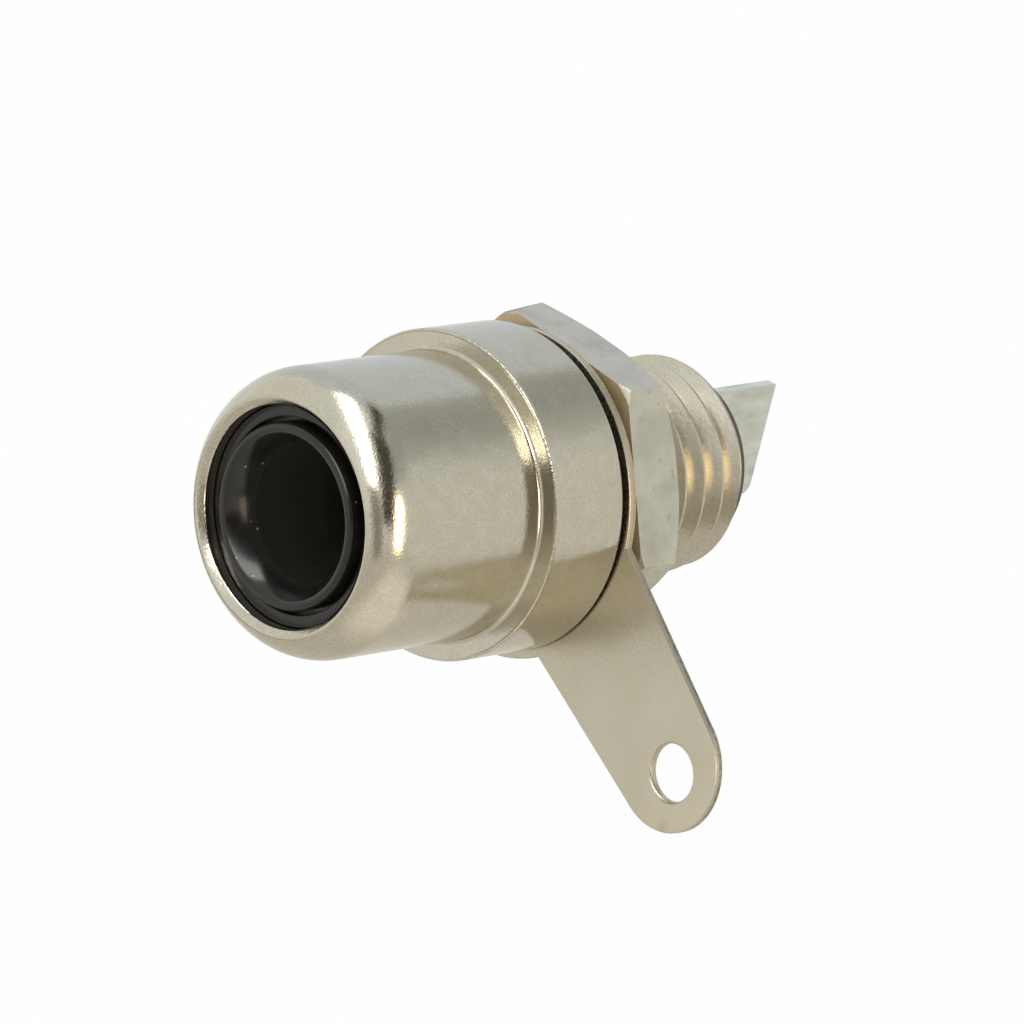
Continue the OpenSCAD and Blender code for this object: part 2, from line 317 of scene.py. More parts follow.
# the punch left the edge smooth at the front of the tipped sheet, and behind that it tore
depth = addNode(tree, "ShaderNodeVectorMath", {
    "operation": "DOT_PRODUCT", 1: sheetLook["across"],
}, {0: place})
behind = addNode(tree, "ShaderNodeMapRange", {
    1: sheetLook["tornFrom"] * mm, 2: sheetLook["tornTo"] * mm,
}, {0: depth.outputs["Value"]})
edge = addNode(tree, "ShaderNodeMath", {"operation": "MULTIPLY"}, {
    0: edge.outputs[0], 1: behind.outputs[0],
})
shade = addNode(tree, "ShaderNodeMath", {"operation": "MULTIPLY"}, {
    0: edge.outputs[0], 1: ragged.outputs[0],
})
level = addNode(tree, "ShaderNodeSeparateXYZ", None, {0: place})
upper = addNode(tree, "ShaderNodeMapRange", {
    1: sheetLook["shadeToGoldZ"][0] * mm, 2: sheetLook["shadeToGoldZ"][1] * mm,
}, {0: level.outputs["Z"]})
# painted shade: the bare edge is dark low on the tail and golden on the ring
bare = addNode(tree, "ShaderNodeMix", {
    "data_type": "RGBA", 6: srgb(sheetLook["cut"]), 7: srgb(sheetLook["torn"]),
}, {0: upper.outputs[0]})
color = addNode(tree, "ShaderNodeMix", {"data_type": "RGBA"}, {
    0: shade.outputs[0], 6: tone.outputs[2], 7: bare.outputs[2],
})
dull = addNode(tree, "ShaderNodeMix", {3: sheetLook["tornDull"]}, {
    0: edge.outputs[0], 2: gloss.outputs[0],
})
height = addNode(tree, "ShaderNodeMath", {
    "operation": "MULTIPLY", 1: sheetLook["relief"],
}, {0: grain.outputs[0]})
tears = addNode(tree, "ShaderNodeMath", {"operation": "MULTIPLY"}, {
    0: edge.outputs[0], 1: tear.outputs[0],
})
height = addNode(tree, "ShaderNodeMath", {
    "operation": "MULTIPLY_ADD", 1: sheetLook["tears"],
}, {0: tears.outputs[0], 2: height.outputs[0]})
bump = addNode(tree, "ShaderNodeBump", {"Distance": mm}, {"Height": height.outputs[0]})
shader.inputs["Metallic"].default_value = 1
tree.links.new(color.outputs[2], shader.inputs["Base Color"])
tree.links.new(dull.outputs[0], shader.inputs["Roughness"])
tree.links.new(bump.outputs[0], shader.inputs["Normal"])


# Nickel-plated nut, pressed and barrel-plated: dull grey-beige with small pits and tumbling marks

nutLook = {
    # the golden colour is a painted reflection of the tag, put on the nut's front face
    "light": "#cfcbbf", "grey": "#bab6a9", "pit": "#b0ab9e", "warmReflection": "#c6b088",
    "grain": 0.1, "cloud": 0.9, "pits": 0.28, "pitted": (0.66, 0.76), "scuff": 0.5, "scuffSwirl": 1.2,
    "smooth": 0.28, "dull": 0.42, "relief": 0.004, "pitDepth": 0.002, "scuffDepth": 0.012,
    "frontTurn": (-0.8, -0.95), "reflectionMetal": 0.35,  # the front face is what is turned to the mouth
}
nickelNut, tree, shader = startMaterial("nickelPlatedNut")
place = addNode(tree, "ShaderNodeTexCoord").outputs["Object"]
grain = addNode(tree, "ShaderNodeTexNoise", {
    "Scale": 1 / (nutLook["grain"] * mm), "Detail": 2,
}, {"Vector": place})
cloud = addNode(tree, "ShaderNodeTexNoise", {
    "Scale": 1 / (nutLook["cloud"] * mm), "Detail": 4,
}, {"Vector": place})
pits = addNode(tree, "ShaderNodeTexNoise", {
    "Scale": 1 / (nutLook["pits"] * mm), "Detail": 1,
}, {"Vector": place})
scuff = addNode(tree, "ShaderNodeTexNoise", {
    "Scale": 1 / (nutLook["scuff"] * mm), "Detail": 3, "Distortion": nutLook["scuffSwirl"],
}, {"Vector": place})
spread = addNode(tree, "ShaderNodeMapRange", {1: noiseLow, 2: noiseHigh}, {0: cloud.outputs[0]})
tone = addNode(tree, "ShaderNodeMix", {
    "data_type": "RGBA", 6: srgb(nutLook["light"]), 7: srgb(nutLook["grey"]),
}, {0: spread.outputs[0]})
pitted = addNode(tree, "ShaderNodeMapRange", {
    1: nutLook["pitted"][0], 2: nutLook["pitted"][1],
}, {0: pits.outputs[0]})
color = addNode(tree, "ShaderNodeMix", {"data_type": "RGBA", 7: srgb(nutLook["pit"])}, {
    0: pitted.outputs[0], 6: tone.outputs[2],
})
# painted reflection: the front face is painted golden and made less metallic, standing in for the tag's
# warm reflection in it
normal = addNode(tree, "ShaderNodeNewGeometry").outputs["Normal"]
facing = addNode(tree, "ShaderNodeSeparateXYZ", None, {0: normal})
bare = addNode(tree, "ShaderNodeMapRange", {
    1: nutLook["frontTurn"][0], 2: nutLook["frontTurn"][1],
}, {0: facing.outputs["Y"]})
color = addNode(tree, "ShaderNodeMix", {"data_type": "RGBA", 7: srgb(nutLook["warmReflection"])}, {
    0: bare.outputs[0], 6: color.outputs[2],
})
metal = addNode(tree, "ShaderNodeMapRange", {3: 1, 4: nutLook["reflectionMetal"]}, {0: bare.outputs[0]})
gloss = addNode(tree, "ShaderNodeMapRange", {
    1: noiseLow, 2: noiseHigh, 3: nutLook["smooth"], 4: nutLook["dull"],
}, {0: grain.outputs[0]})
height = addNode(tree, "ShaderNodeMath", {
    "operation": "MULTIPLY", 1: nutLook["relief"],
}, {0: grain.outputs[0]})
height = addNode(tree, "ShaderNodeMath", {
    "operation": "MULTIPLY_ADD", 1: -nutLook["pitDepth"],
}, {0: pitted.outputs[0], 2: height.outputs[0]})
height = addNode(tree, "ShaderNodeMath", {
    "operation": "MULTIPLY_ADD", 1: nutLook["scuffDepth"],
}, {0: scuff.outputs[0], 2: height.outputs[0]})
bump = addNode(tree, "ShaderNodeBump", {"Distance": mm}, {"Height": height.outputs[0]})
tree.links.new(metal.outputs[0], shader.inputs["Metallic"])
tree.links.new(color.outputs[2], shader.inputs["Base Color"])
tree.links.new(gloss.outputs[0], shader.inputs["Roughness"])
tree.links.new(bump.outputs[0], shader.inputs["Normal"])


# Tin-plated brass sheet: pale grey and milky, smeared lengthwise,
# and painted dull brown inside the socket as painted shade, where the hole is dark

tinLook = {
    # the brown colour is painted shade, put on the contact where it lies inside the socket
    "light": "#dfe2dc", "grey": "#c6c8c2", "bare": "#6a655a", "shadeEndY": 6,
    "grain": 0.09, "smear": 0.4, "smearL": 3, "smeared": (0.35, 0.7),
    "smooth": 0.34, "dull": 0.5, "relief": 0.003, "ripple": 0.008,
}
tinPlate, tree, shader = startMaterial("tinPlatedSheet")
place = addNode(tree, "ShaderNodeTexCoord").outputs["Object"]
drawn = addNode(tree, "ShaderNodeMapping", {"Scale": (1, 1 / tinLook["smearL"], 1)}, {"Vector": place})
grain = addNode(tree, "ShaderNodeTexNoise", {
    "Scale": 1 / (tinLook["grain"] * mm), "Detail": 2,
}, {"Vector": place})
smear = addNode(tree, "ShaderNodeTexNoise", {
    "Scale": 1 / (tinLook["smear"] * mm), "Detail": 4,
}, {"Vector": drawn.outputs[0]})
spread = addNode(tree, "ShaderNodeMapRange", {
    1: tinLook["smeared"][0], 2: tinLook["smeared"][1],
}, {0: smear.outputs[0]})
tone = addNode(tree, "ShaderNodeMix", {
    "data_type": "RGBA", 6: srgb(tinLook["light"]), 7: srgb(tinLook["grey"]),
}, {0: spread.outputs[0]})
along = addNode(tree, "ShaderNodeSeparateXYZ", None, {0: place})
# painted shade: the contact is brown inside the socket, and tin-coloured only past this length along the
# axis
outsideShade = addNode(tree, "ShaderNodeMath", {
    "operation": "GREATER_THAN", 1: tinLook["shadeEndY"] * mm,
}, {0: along.outputs["Y"]})
color = addNode(tree, "ShaderNodeMix", {"data_type": "RGBA", 6: srgb(tinLook["bare"])}, {
    0: outsideShade.outputs[0], 7: tone.outputs[2],
})
gloss = addNode(tree, "ShaderNodeMapRange", {
    1: noiseLow, 2: noiseHigh, 3: tinLook["smooth"], 4: tinLook["dull"],
}, {0: grain.outputs[0]})
height = addNode(tree, "ShaderNodeMath", {
    "operation": "MULTIPLY", 1: tinLook["relief"],
}, {0: grain.outputs[0]})
height = addNode(tree, "ShaderNodeMath", {
    "operation": "MULTIPLY_ADD", 1: tinLook["ripple"],
}, {0: smear.outputs[0], 2: height.outputs[0]})
bump = addNode(tree, "ShaderNodeBump", {"Distance": mm}, {"Height": height.outputs[0]})
shader.inputs["Metallic"].default_value = 1
tree.links.new(color.outputs[2], shader.inputs["Base Color"])
tree.links.new(gloss.outputs[0], shader.inputs["Roughness"])
tree.links.new(bump.outputs[0], shader.inputs["Normal"])


# Black ABS, injection moulded: a soft gloss, a little greyed by handling, with grains of pale dust

plasticLook = {
    "black": "#1c1a18", "worn": "#242220", "paintedLightGrey": "#4c4a44", "dust": "#b9b4a6",
    # the lighter grey is painted light for the walls inside the pin hole
    "frontY": -5.5, "insideY": -4.6, "cloud": 0.8, "clouded": (0.35, 0.7), "fine": 0.07,
    "dustCell": 0.45, "dustR": 0.075, "dustShare": 0.55,
    "smooth": 0.13, "dull": 0.22, "relief": 0.0015, "ior": 1.5,
}
blackMoulding, tree, shader = startMaterial("blackMoulding")
place = addNode(tree, "ShaderNodeTexCoord").outputs["Object"]
fine = addNode(tree, "ShaderNodeTexNoise", {
    "Scale": 1 / (plasticLook["fine"] * mm), "Detail": 2,
}, {"Vector": place})
cloud = addNode(tree, "ShaderNodeTexNoise", {
    "Scale": 1 / (plasticLook["cloud"] * mm), "Detail": 4,
}, {"Vector": place})
cells = addNode(tree, "ShaderNodeTexVoronoi", {
    "Scale": 1 / (plasticLook["dustCell"] * mm),
}, {"Vector": place})
spread = addNode(tree, "ShaderNodeMapRange", {
    1: plasticLook["clouded"][0], 2: plasticLook["clouded"][1],
}, {0: cloud.outputs[0]})
tone = addNode(tree, "ShaderNodeMix", {
    "data_type": "RGBA", 6: srgb(plasticLook["black"]), 7: srgb(plasticLook["worn"]),
}, {0: spread.outputs[0]})
speck = addNode(tree, "ShaderNodeMath", {
    "operation": "LESS_THAN", 1: plasticLook["dustR"],
}, {0: cells.outputs["Distance"]})
chance = addNode(tree, "ShaderNodeSeparateXYZ", None, {0: cells.outputs["Color"]})
chosen = addNode(tree, "ShaderNodeMath", {
    "operation": "GREATER_THAN", 1: plasticLook["dustShare"],
}, {0: chance.outputs["X"]})
# dust grains lie on the front, and inside the hole the moulding is painted lighter grey all over as
# painted light on its walls
along = addNode(tree, "ShaderNodeSeparateXYZ", None, {0: place})
inside = addNode(tree, "ShaderNodeMapRange", {
    1: plasticLook["frontY"] * mm, 2: plasticLook["insideY"] * mm,
}, {0: along.outputs["Y"]})
tone = addNode(tree, "ShaderNodeMix", {"data_type": "RGBA", 7: srgb(plasticLook["paintedLightGrey"])}, {
    0: inside.outputs[0], 6: tone.outputs[2],
})
front = addNode(tree, "ShaderNodeMath", {"operation": "SUBTRACT", 0: 1}, {1: inside.outputs[0]})
dust = addNode(tree, "ShaderNodeMath", {"operation": "MULTIPLY"}, {
    0: speck.outputs[0], 1: chosen.outputs[0],
})
dust = addNode(tree, "ShaderNodeMath", {"operation": "MULTIPLY"}, {
    0: dust.outputs[0], 1: front.outputs[0],
})
color = addNode(tree, "ShaderNodeMix", {"data_type": "RGBA", 7: srgb(plasticLook["dust"])}, {
    0: dust.outputs[0], 6: tone.outputs[2],
})
gloss = addNode(tree, "ShaderNodeMapRange", {
    1: noiseLow, 2: noiseHigh, 3: plasticLook["smooth"], 4: plasticLook["dull"],
}, {0: cloud.outputs[0]})
height = addNode(tree, "ShaderNodeMath", {
    "operation": "MULTIPLY", 1: plasticLook["relief"],
}, {0: fine.outputs[0]})
bump = addNode(tree, "ShaderNodeBump", {"Distance": mm}, {"Height": height.outputs[0]})
shader.inputs["IOR"].default_value = plasticLook["ior"]
tree.links.new(color.outputs[2], shader.inputs["Base Color"])
tree.links.new(gloss.outputs[0], shader.inputs["Roughness"])
tree.links.new(bump.outputs[0], shader.inputs["Normal"])
print("materials done")


# Turned shell: sleeve with its rounded rim, collar and threaded barrel

shellSizes = {
    "boreR": 3.15, "mouthY": -6.0, "rimR": 3.38, "rimY": -6.2,
    "rimCentre": (2.45, -4.777), "sleeveR": 4.15, "collarR": 4.75, "collarY": 2.75,
    "barrelBoreR": 2.2, "boreEndY": 1.2,
    "rimEdge": 0.08, "mouthEdge": 0.06, "cornerFillet": 0.12, "collarEdge": 0.06,
}
threadSizes = {
    "pitch": 0.79, "crestR": 3.175, "depth": 0.44, "crestW": 0.08, "rootW": 0.1,
    "startY": 1.6, "turns": 12, "steps": 120, "weld": 0.001,
    "tubeY": 2.5, "endY": 10.0, "endR": 2.675, "chamferY": 9.31, "outerR": 3.25,
    "boreClear": 0.25, "pastCollar": 0.05,
}


def makeThread(sizes, boreR):
    # one groove with straight flanks and one crest, wound round the axis and trimmed to a chamfered tube
    crestR, rootR, pitch = sizes["crestR"], sizes["crestR"] - sizes["depth"], sizes["pitch"]
    flank = (pitch - sizes["crestW"] - sizes["rootW"]) / 2
    start = sizes["startY"]
    thread = startPiece("thread")
    drawLine([
        (crestR, start),
        (rootR, start + flank),
        (rootR, start + flank + sizes["rootW"]),
        (crestR, start + pitch - sizes["crestW"]),
        (crestR, start + pitch),
    ])
    bpy.ops.object.mode_set(mode="OBJECT")
    pickOnly(thread)
    bpy.ops.object.modifier_add(type="SCREW")
    wind = thread.modifiers[-1]
    wind.axis = "Y"
    wind.screw_offset = pitch * mm
    wind.iterations = sizes["turns"]
    wind.steps = sizes["steps"]
    wind.render_steps = sizes["steps"]
    wind.use_merge_vertices = True
    wind.merge_threshold = sizes["weld"] * mm
    bpy.ops.object.modifier_apply(modifier=wind.name)
    bpy.ops.object.mode_set(mode="EDIT")
    mergeAll()
    bpy.ops.mesh.fill_holes(sides=0)
    bpy.ops.mesh.select_all(action="SELECT")
    bpy.ops.mesh.normals_make_consistent(inside=False)
    bpy.ops.object.mode_set(mode="OBJECT")
    # the tube's front end stays inside the collar, clear of its bore
    tube = turnPiece("barrelTube", [
        (boreR + sizes["boreClear"], sizes["tubeY"]),
        (sizes["outerR"], sizes["tubeY"]),
        (sizes["outerR"], sizes["chamferY"]),
        (sizes["endR"], sizes["endY"]),
        (boreR, sizes["endY"]),
        (boreR, shellSizes["collarY"] + sizes["pastCollar"]),
    ])
    carve(thread, tube, "INTERSECT")
    return thread


def makeShell(s):
    shell = turnPiece("socketShell", [
        (s["boreR"], s["mouthY"]),
        (s["rimR"], s["rimY"]),
        (s["sleeveR"], s["rimCentre"][1], s["rimCentre"][0], s["rimCentre"][1], 36),
        (s["sleeveR"], 0),
        (s["collarR"], 0),
        (s["collarR"], s["collarY"]),
        (s["barrelBoreR"], s["collarY"]),
        (s["barrelBoreR"], s["boreEndY"]),
        (s["boreR"], s["boreEndY"]),
    ])
    roundRings(shell, [
        (s["boreR"], s["mouthY"], s["mouthEdge"], 4),
        (s["rimR"], s["rimY"], s["rimEdge"], 5),
        (s["sleeveR"], 0, s["cornerFillet"], 5),
        (s["collarR"], 0, s["collarEdge"], 3),
        (s["collarR"], s["collarY"], s["collarEdge"], 3),
    ])
    carve(shell, makeThread(threadSizes, s["barrelBoreR"]), "UNION")
    return shell


# a low angle keeps the collar's flat face a true mirror up to its rounded edges
finishPiece(makeShell(shellSizes), "shell", nickelBrass, angle=8)


# Black moulding in the mouth: lip round the pin hole, groove, shelf and plug

frontSizes = {
    "pinHoleR": 1.94, "holeY": -5.2, "crownRound": 0.17, "lipR": 2.66, "crestY": -6.03,
    "funnelTilt": 53, "belly": 2.9, "grooveR": 2.79, "grooveY": -5.16, "grooveEdge": 0.03,
    "shelfY": -5.66, "outerR": 3.13, "outerEdge": 0.02, "entryY": -5.05, "chamberR": 2.35, "floorY": 0.4,
    "seatR": 1.95, "foldY": 3.5, "stopY": 4.3, "plugR": 2.18, "bodyY": 1.2,
    "slotW": 3.59, "slotT": 0.34, "slotOffset": 0.5, "slotAngle": 198,
}


def tailCutter(name, width, thick, offset, angle, startY, endY):
    # block on the tail's plane: the tail itself, and what cuts its slots and the fingers
    bpy.ops.object.select_all(action="DESELECT")
    bpy.ops.mesh.primitive_cube_add(size=1)
    block = bpy.context.object
    block.name = name
    bpy.ops.object.mode_set(mode="EDIT")
    bpy.ops.transform.resize(value=(thick * mm, (endY - startY) * mm, width * mm))
    bpy.ops.transform.translate(value=(offset * mm, (startY + endY) / 2 * mm, 0))
    bpy.ops.object.mode_set(mode="OBJECT")
    # angles run clockwise from +X seen from the mouth, which is a right-handed turn about +Y
    block.rotation_euler = (0, math.radians(angle), 0)
    bpy.ops.object.transform_apply(location=True, rotation=True, scale=True)
    return block


def makeFront(s):
    # the lip's crown runs on into the funnel without an edge
    crownR, crownY = s["lipR"] - s["crownRound"], s["crestY"] + s["crownRound"]
    tilt = math.radians(s["funnelTilt"])
    funnel = (crownR - s["crownRound"] * math.sin(tilt), crownY - s["crownRound"] * math.cos(tilt))
    bellyAt = (funnel[0] + s["belly"] * math.sin(tilt), funnel[1] + s["belly"] * math.cos(tilt))
    hole = math.atan2(s["holeY"] - bellyAt[1], s["pinHoleR"] - bellyAt[0])
    throat = (bellyAt[0] + s["belly"] * math.cos(hole), bellyAt[1] + s["belly"] * math.sin(hole))
    front = turnPiece("mouthMoulding", [
        (s["pinHoleR"], s["holeY"]),
        throat,
        (*funnel, *bellyAt, 12),
        (crownR, s["crestY"], crownR, crownY, 8),
        (s["lipR"], crownY, crownR, crownY, 8),
        (s["lipR"], s["grooveY"]),
        (s["grooveR"], s["grooveY"]),
        (s["grooveR"], s["shelfY"]),
        (s["outerR"], s["shelfY"]),
        (s["outerR"], s["bodyY"]),
        (s["plugR"], s["bodyY"]),
        (s["plugR"], s["stopY"]),
        (0, s["stopY"]),
        (0, s["foldY"]),
        (s["seatR"], s["foldY"]),
        (s["seatR"], s["floorY"]),
        (s["chamberR"], s["floorY"]),
        (s["chamberR"], s["entryY"]),
        (s["pinHoleR"], s["entryY"]),
    ])
    roundRings(front, [
        (s["grooveR"], s["shelfY"], s["grooveEdge"], 3),
        (s["outerR"], s["shelfY"], s["outerEdge"], 2),
    ])
    slot = tailCutter(
        "slot", s["slotW"], s["slotT"], s["slotOffset"], s["slotAngle"],
        s["foldY"] - cutPast, s["stopY"] + cutPast,
    )
    carve(front, slot, "DIFFERENCE")
    return front


finishPiece(makeFront(frontSizes), "front_insulator", blackMoulding)


# Black bush in the barrel's end, with the slot for the tail

rearSizes = {
    "plugR": 2.18, "startY": 6.4, "endY": 10.0, "flangeR": 2.65, "flangeY": 10.2, "flangeEdge": 0.06,
    "slotW": 3.59, "slotT": 0.34, "slotOffset": 0.5, "slotAngle": 198,
}


def makeRear(s):
    rear = turnPiece("barrelBush", [
        (0, s["startY"]),
        (s["plugR"], s["startY"]),
        (s["plugR"], s["endY"]),
        (s["flangeR"], s["endY"]),
        (s["flangeR"], s["flangeY"]),
        (0, s["flangeY"]),
    ])
    roundRings(rear, [(s["flangeR"], s["flangeY"], s["flangeEdge"], 4)])
    slot = tailCutter(
        "slot", s["slotW"], s["slotT"], s["slotOffset"], s["slotAngle"],
        s["startY"] - cutPast, s["flangeY"] + cutPast,
    )
    carve(rear, slot, "DIFFERENCE")
    return rear


finishPiece(makeRear(rearSizes), "rear_insulator", blackMoulding)


# Rolled centre contact with spring fingers, and its flat solder tail

contactSizes = {
    "boreR": 1.63, "outerR": 1.93, "startY": -1.8, "tubeY": 3.2, "foldY": 3.5, "fingerY": 0.4,
    "slotW": 0.3, "fingers": 4, "tailW": 3.55, "tailT": 0.3, "tailOffset": 0.5, "tailAngle": 198,
    "tailY": 14.2, "topCorner": 0.03, "lowCorner": 0.35, "tailRise": 0.09, "bendL": 0.5, "edge": 0.04,
    # room that the cutters take beyond the tube, and how far the tail starts inside the fold
    "sidePast": 1, "slitPast": 0.5, "tailIn": 0.1,
}


def makeContact(s):
    contact = turnPiece("rolledContact", [
        (s["boreR"], s["startY"]),
        (s["outerR"], s["startY"]),
        (s["outerR"], s["foldY"]),
        (0, s["foldY"]),
        (0, s["tubeY"]),
        (s["boreR"], s["tubeY"]),
    ], 96)
    # the fold covers only the tail's side of the tube
    span = 2 * s["outerR"] + s["sidePast"]
    openX = s["tailOffset"] - s["tailT"] / 2 - span / 2
    openSide = tailCutter(
        "openSide", span, span, openX, s["tailAngle"],
        s["tubeY"], s["foldY"] + cutPast,
    )
    carve(contact, openSide, "DIFFERENCE")
    slitL = s["outerR"] + s["slitPast"]
    for finger in range(s["fingers"]):
        angle = s["tailAngle"] + (finger + 0.5) * 360 / s["fingers"]
        slit = tailCutter(
            "slit", s["slotW"], slitL, slitL / 2, angle,
            s["startY"] - cutPast, s["fingerY"],
        )
        carve(contact, slit, "DIFFERENCE")
    tailStart = s["tubeY"] + s["tailIn"]
    tail = tailCutter("tail", s["tailW"], s["tailT"], s["tailOffset"], 0, tailStart, s["tailY"])
    for side, corner in ((1, s["topCorner"]), (-1, s["lowCorner"])):
        def atCorner(a, b):
            return all(
                abs(p.y - s["tailY"]) < sheetSlack and abs(p.z + side * s["tailW"] / 2) < sheetSlack
                for p in (a, b)
            )
        pickEdges(tail, atCorner)
        bpy.ops.mesh.bevel(offset=corner * mm, offset_type="OFFSET", segments=6, affect="EDGES")
        bpy.ops.object.mode_set(mode="OBJECT")
    # the tail's end is bent up a little
    pickEdges(tail, lambda a, b: min(a.y, b.y) > s["tailY"] - s["bendL"])
    bpy.ops.transform.translate(value=(0, 0, -s["tailRise"] * mm))
    bpy.ops.object.mode_set(mode="OBJECT")
    tail.rotation_euler = (0, math.radians(s["tailAngle"]), 0)
    pickOnly(tail)
    bpy.ops.object.transform_apply(location=True, rotation=True, scale=True)
    carve(contact, tail, "UNION")
    breakEdges(contact, s["edge"], steps=2, angle=40)
    return contact


finishPiece(makeContact(contactSizes), "centre_contact", tinPlate)


# Solder tag: a stamped ring with a tapered tail and an eye, hanging off the axis on the thread

tagSizes = {
    "ringR": 4.79, "holeR": 3.415, "tailL": 11.545, "endR": 1.98, "rootHalf": 2.75, "shift": 0.36,
    "eyeR": 0.83, "eyeEdge": 1.66, "thick": 0.27, "angle": 49.48, "middle": (0.09, -0.21),
    "faceY": 3.05, "lean": -2.1, "twist": -1.95, "edge": 0.035, "eyeRound": 0.1,
}


def diskCutter(x, y, radius, depth, segments):
    bpy.ops.object.select_all(action="DESELECT")
    bpy.ops.mesh.primitive_cylinder_add(
        vertices=segments, radius=radius * mm, depth=depth * mm, location=(x * mm, y * mm, 0),
    )
    return bpy.context.object


def makeTag(s):
    endX = s["tailL"] - s["endR"]
    low, high = -s["shift"] - s["endR"], -s["shift"] + s["endR"]

    def meetRing(side):
        # where a straight edge of the tail leaves the ring
        slope = side * (s["endR"] - s["rootHalf"]) / endX
        base = -s["shift"] + side * s["rootHalf"]
        a, b, c = 1 + slope ** 2, 2 * slope * base, base ** 2 - s["ringR"] ** 2
        x = (-b + math.sqrt(b * b - 4 * a * c)) / (2 * a)
        return x, base + slope * x

    lowRoot, highRoot = meetRing(-1), meetRing(1)
    ring = s["ringR"]
    tag = startPiece("solderTag")
    drawLine([
        lowRoot,
        (endX, low),
        (s["tailL"], -s["shift"], endX, -s["shift"], 16),
        (endX, high, endX, -s["shift"], 16),
        highRoot,
        (0, ring, 0, 0, 12),
        (-ring, 0, 0, 0, 24),
        (0, -ring, 0, 0, 24),
        (lowRoot[0], lowRoot[1], 0, 0, 12),
    ])
    mergeAll()
    bpy.ops.mesh.edge_face_add()
    bpy.ops.mesh.extrude_region_move(TRANSFORM_OT_translate={"value": (0, 0, s["thick"] * mm)})
    bpy.ops.mesh.select_all(action="SELECT")
    bpy.ops.mesh.normals_make_consistent(inside=False)
    bpy.ops.object.mode_set(mode="OBJECT")
    cutDepth = 4 * s["thick"]
    carve(tag, diskCutter(0, 0, s["holeR"], cutDepth, 128), "DIFFERENCE")
    eyeX = s["tailL"] - s["eyeEdge"]
    carve(tag, diskCutter(eyeX, -s["shift"], s["eyeR"], cutDepth, 64), "DIFFERENCE")

    def onEye(a, b):
        return all(
            abs(math.hypot(p.x - eyeX, p.y + s["shift"]) - s["eyeR"]) < sheetSlack
            and abs(p.z) < sheetSlack
            for p in (a, b)
        )
    pickEdges(tag, onEye)
    bpy.ops.mesh.bevel(offset=s["eyeRound"] * mm, offset_type="OFFSET", segments=4, affect="EDGES")
    bpy.ops.object.mode_set(mode="OBJECT")
    breakEdges(tag, s["edge"], steps=2, angle=50)
    # swung to its angle, hung low on the thread, then tipped in the room that the loose nut leaves it
    tag.rotation_euler = (-math.pi / 2, math.radians(s["angle"]), 0)
    tag.location = (s["middle"][0] * mm, 0, s["middle"][1] * mm)
    pickOnly(tag)
    bpy.ops.object.transform_apply(location=True, rotation=True, scale=True)
    tag.rotation_euler = (math.radians(s["lean"]), 0, math.radians(s["twist"]))
    tag.location = (0, s["faceY"] * mm, 0)
    return tag


finishPiece(makeTag(tagSizes), "solder_tag", nickelSheet)


# Nut: thin hexagon with chamfered corners

nutSizes = {
    "flats": 8.76, "frontY": 3.65, "rearY": 5.42, "frontCut": 0.2, "rearCut": 0.64, "slope": 32,
    "corner": 23.5, "boreR": 3.19, "countersink": 0.16, "edge": 0.07,
    "bluntCorner": 263.5, "bluntY": 4.65, "bluntDepth": 0.17,
    "blankL": 3, "toolPast": 0.2,  # the blank's length, and how far its tools run past the nut
}


def makeNut(s):
    cornerR = s["flats"] / 2 / math.cos(math.pi / 6)
    rise = math.tan(math.radians(s["slope"]))
    middle = (s["frontY"] + s["rearY"]) / 2
    bpy.ops.object.select_all(action="DESELECT")
    bpy.ops.mesh.primitive_cylinder_add(
        vertices=6, radius=cornerR * mm, depth=s["blankL"] * mm, location=(0, middle * mm, 0),
        # the primitive's own corner stands at 30 degrees
        rotation=(-math.pi / 2, math.radians(s["corner"] - 30), 0),
    )
    nut = bpy.context.object
    nut.name = "hexNut"
    bpy.ops.object.transform_apply(location=True, rotation=True, scale=True)
    outer = cornerR + s["toolPast"]
    envelope = turnPiece("envelope", [
        (0, s["frontY"]),
        (cornerR - s["frontCut"], s["frontY"]),
        (outer, s["frontY"] + (outer - cornerR + s["frontCut"]) * rise),
        (outer, s["rearY"] - (outer - cornerR + s["rearCut"]) * rise),
        (cornerR - s["rearCut"], s["rearY"]),
        (0, s["rearY"]),
    ])
    carve(nut, envelope, "INTERSECT")
    # the top corner is worn blunt at its front
    angle = math.radians(s["bluntCorner"])
    outward = Vector((math.cos(angle), 0, -math.sin(angle)))
    run = s["bluntY"] - s["frontY"]
    pickOnly(nut)
    bpy.ops.object.mode_set(mode="EDIT")
    bpy.ops.mesh.select_all(action="SELECT")
    bpy.ops.mesh.bisect(
        plane_co=(outward * cornerR + Vector((0, s["bluntY"], 0))) * mm,
        plane_no=(outward * run - Vector((0, s["bluntDepth"], 0))).normalized(),
        use_fill=True, clear_outer=True,
    )
    bpy.ops.object.mode_set(mode="OBJECT")
    flare = s["boreR"] + s["countersink"] + s["toolPast"]
    bore = turnPiece("bore", [
        (0, s["frontY"] - s["toolPast"]),
        (flare, s["frontY"] - s["toolPast"]),
        (s["boreR"], s["frontY"] + s["countersink"]),
        (s["boreR"], s["rearY"] - s["countersink"]),
        (flare, s["rearY"] + s["toolPast"]),
        (0, s["rearY"] + s["toolPast"]),
    ])
    carve(nut, bore, "DIFFERENCE")
    breakEdges(nut, s["edge"], steps=3, angle=25)
    # the bevel leaves a few faces without area, which go
    bpy.ops.object.mode_set(mode="EDIT")
    mergeAll()
    bpy.ops.mesh.dissolve_degenerate(threshold=weld * mm)
    bpy.ops.object.mode_set(mode="OBJECT")
    return nut


finishPiece(makeNut(nutSizes), "hex_nut", nickelNut)


# Camera at the photograph's place: the view was fitted to the socket's edges

cameraSizes = {
    "azimuth": 43.75, "elevation": 8.26, "lens": 281.25, "sensor": 36,
    "target": (0, -6.0, 0), "right": -6.34, "down": 0.148, "ahead": 222.41,
    "clip": (0.01, 20),  # metres
}


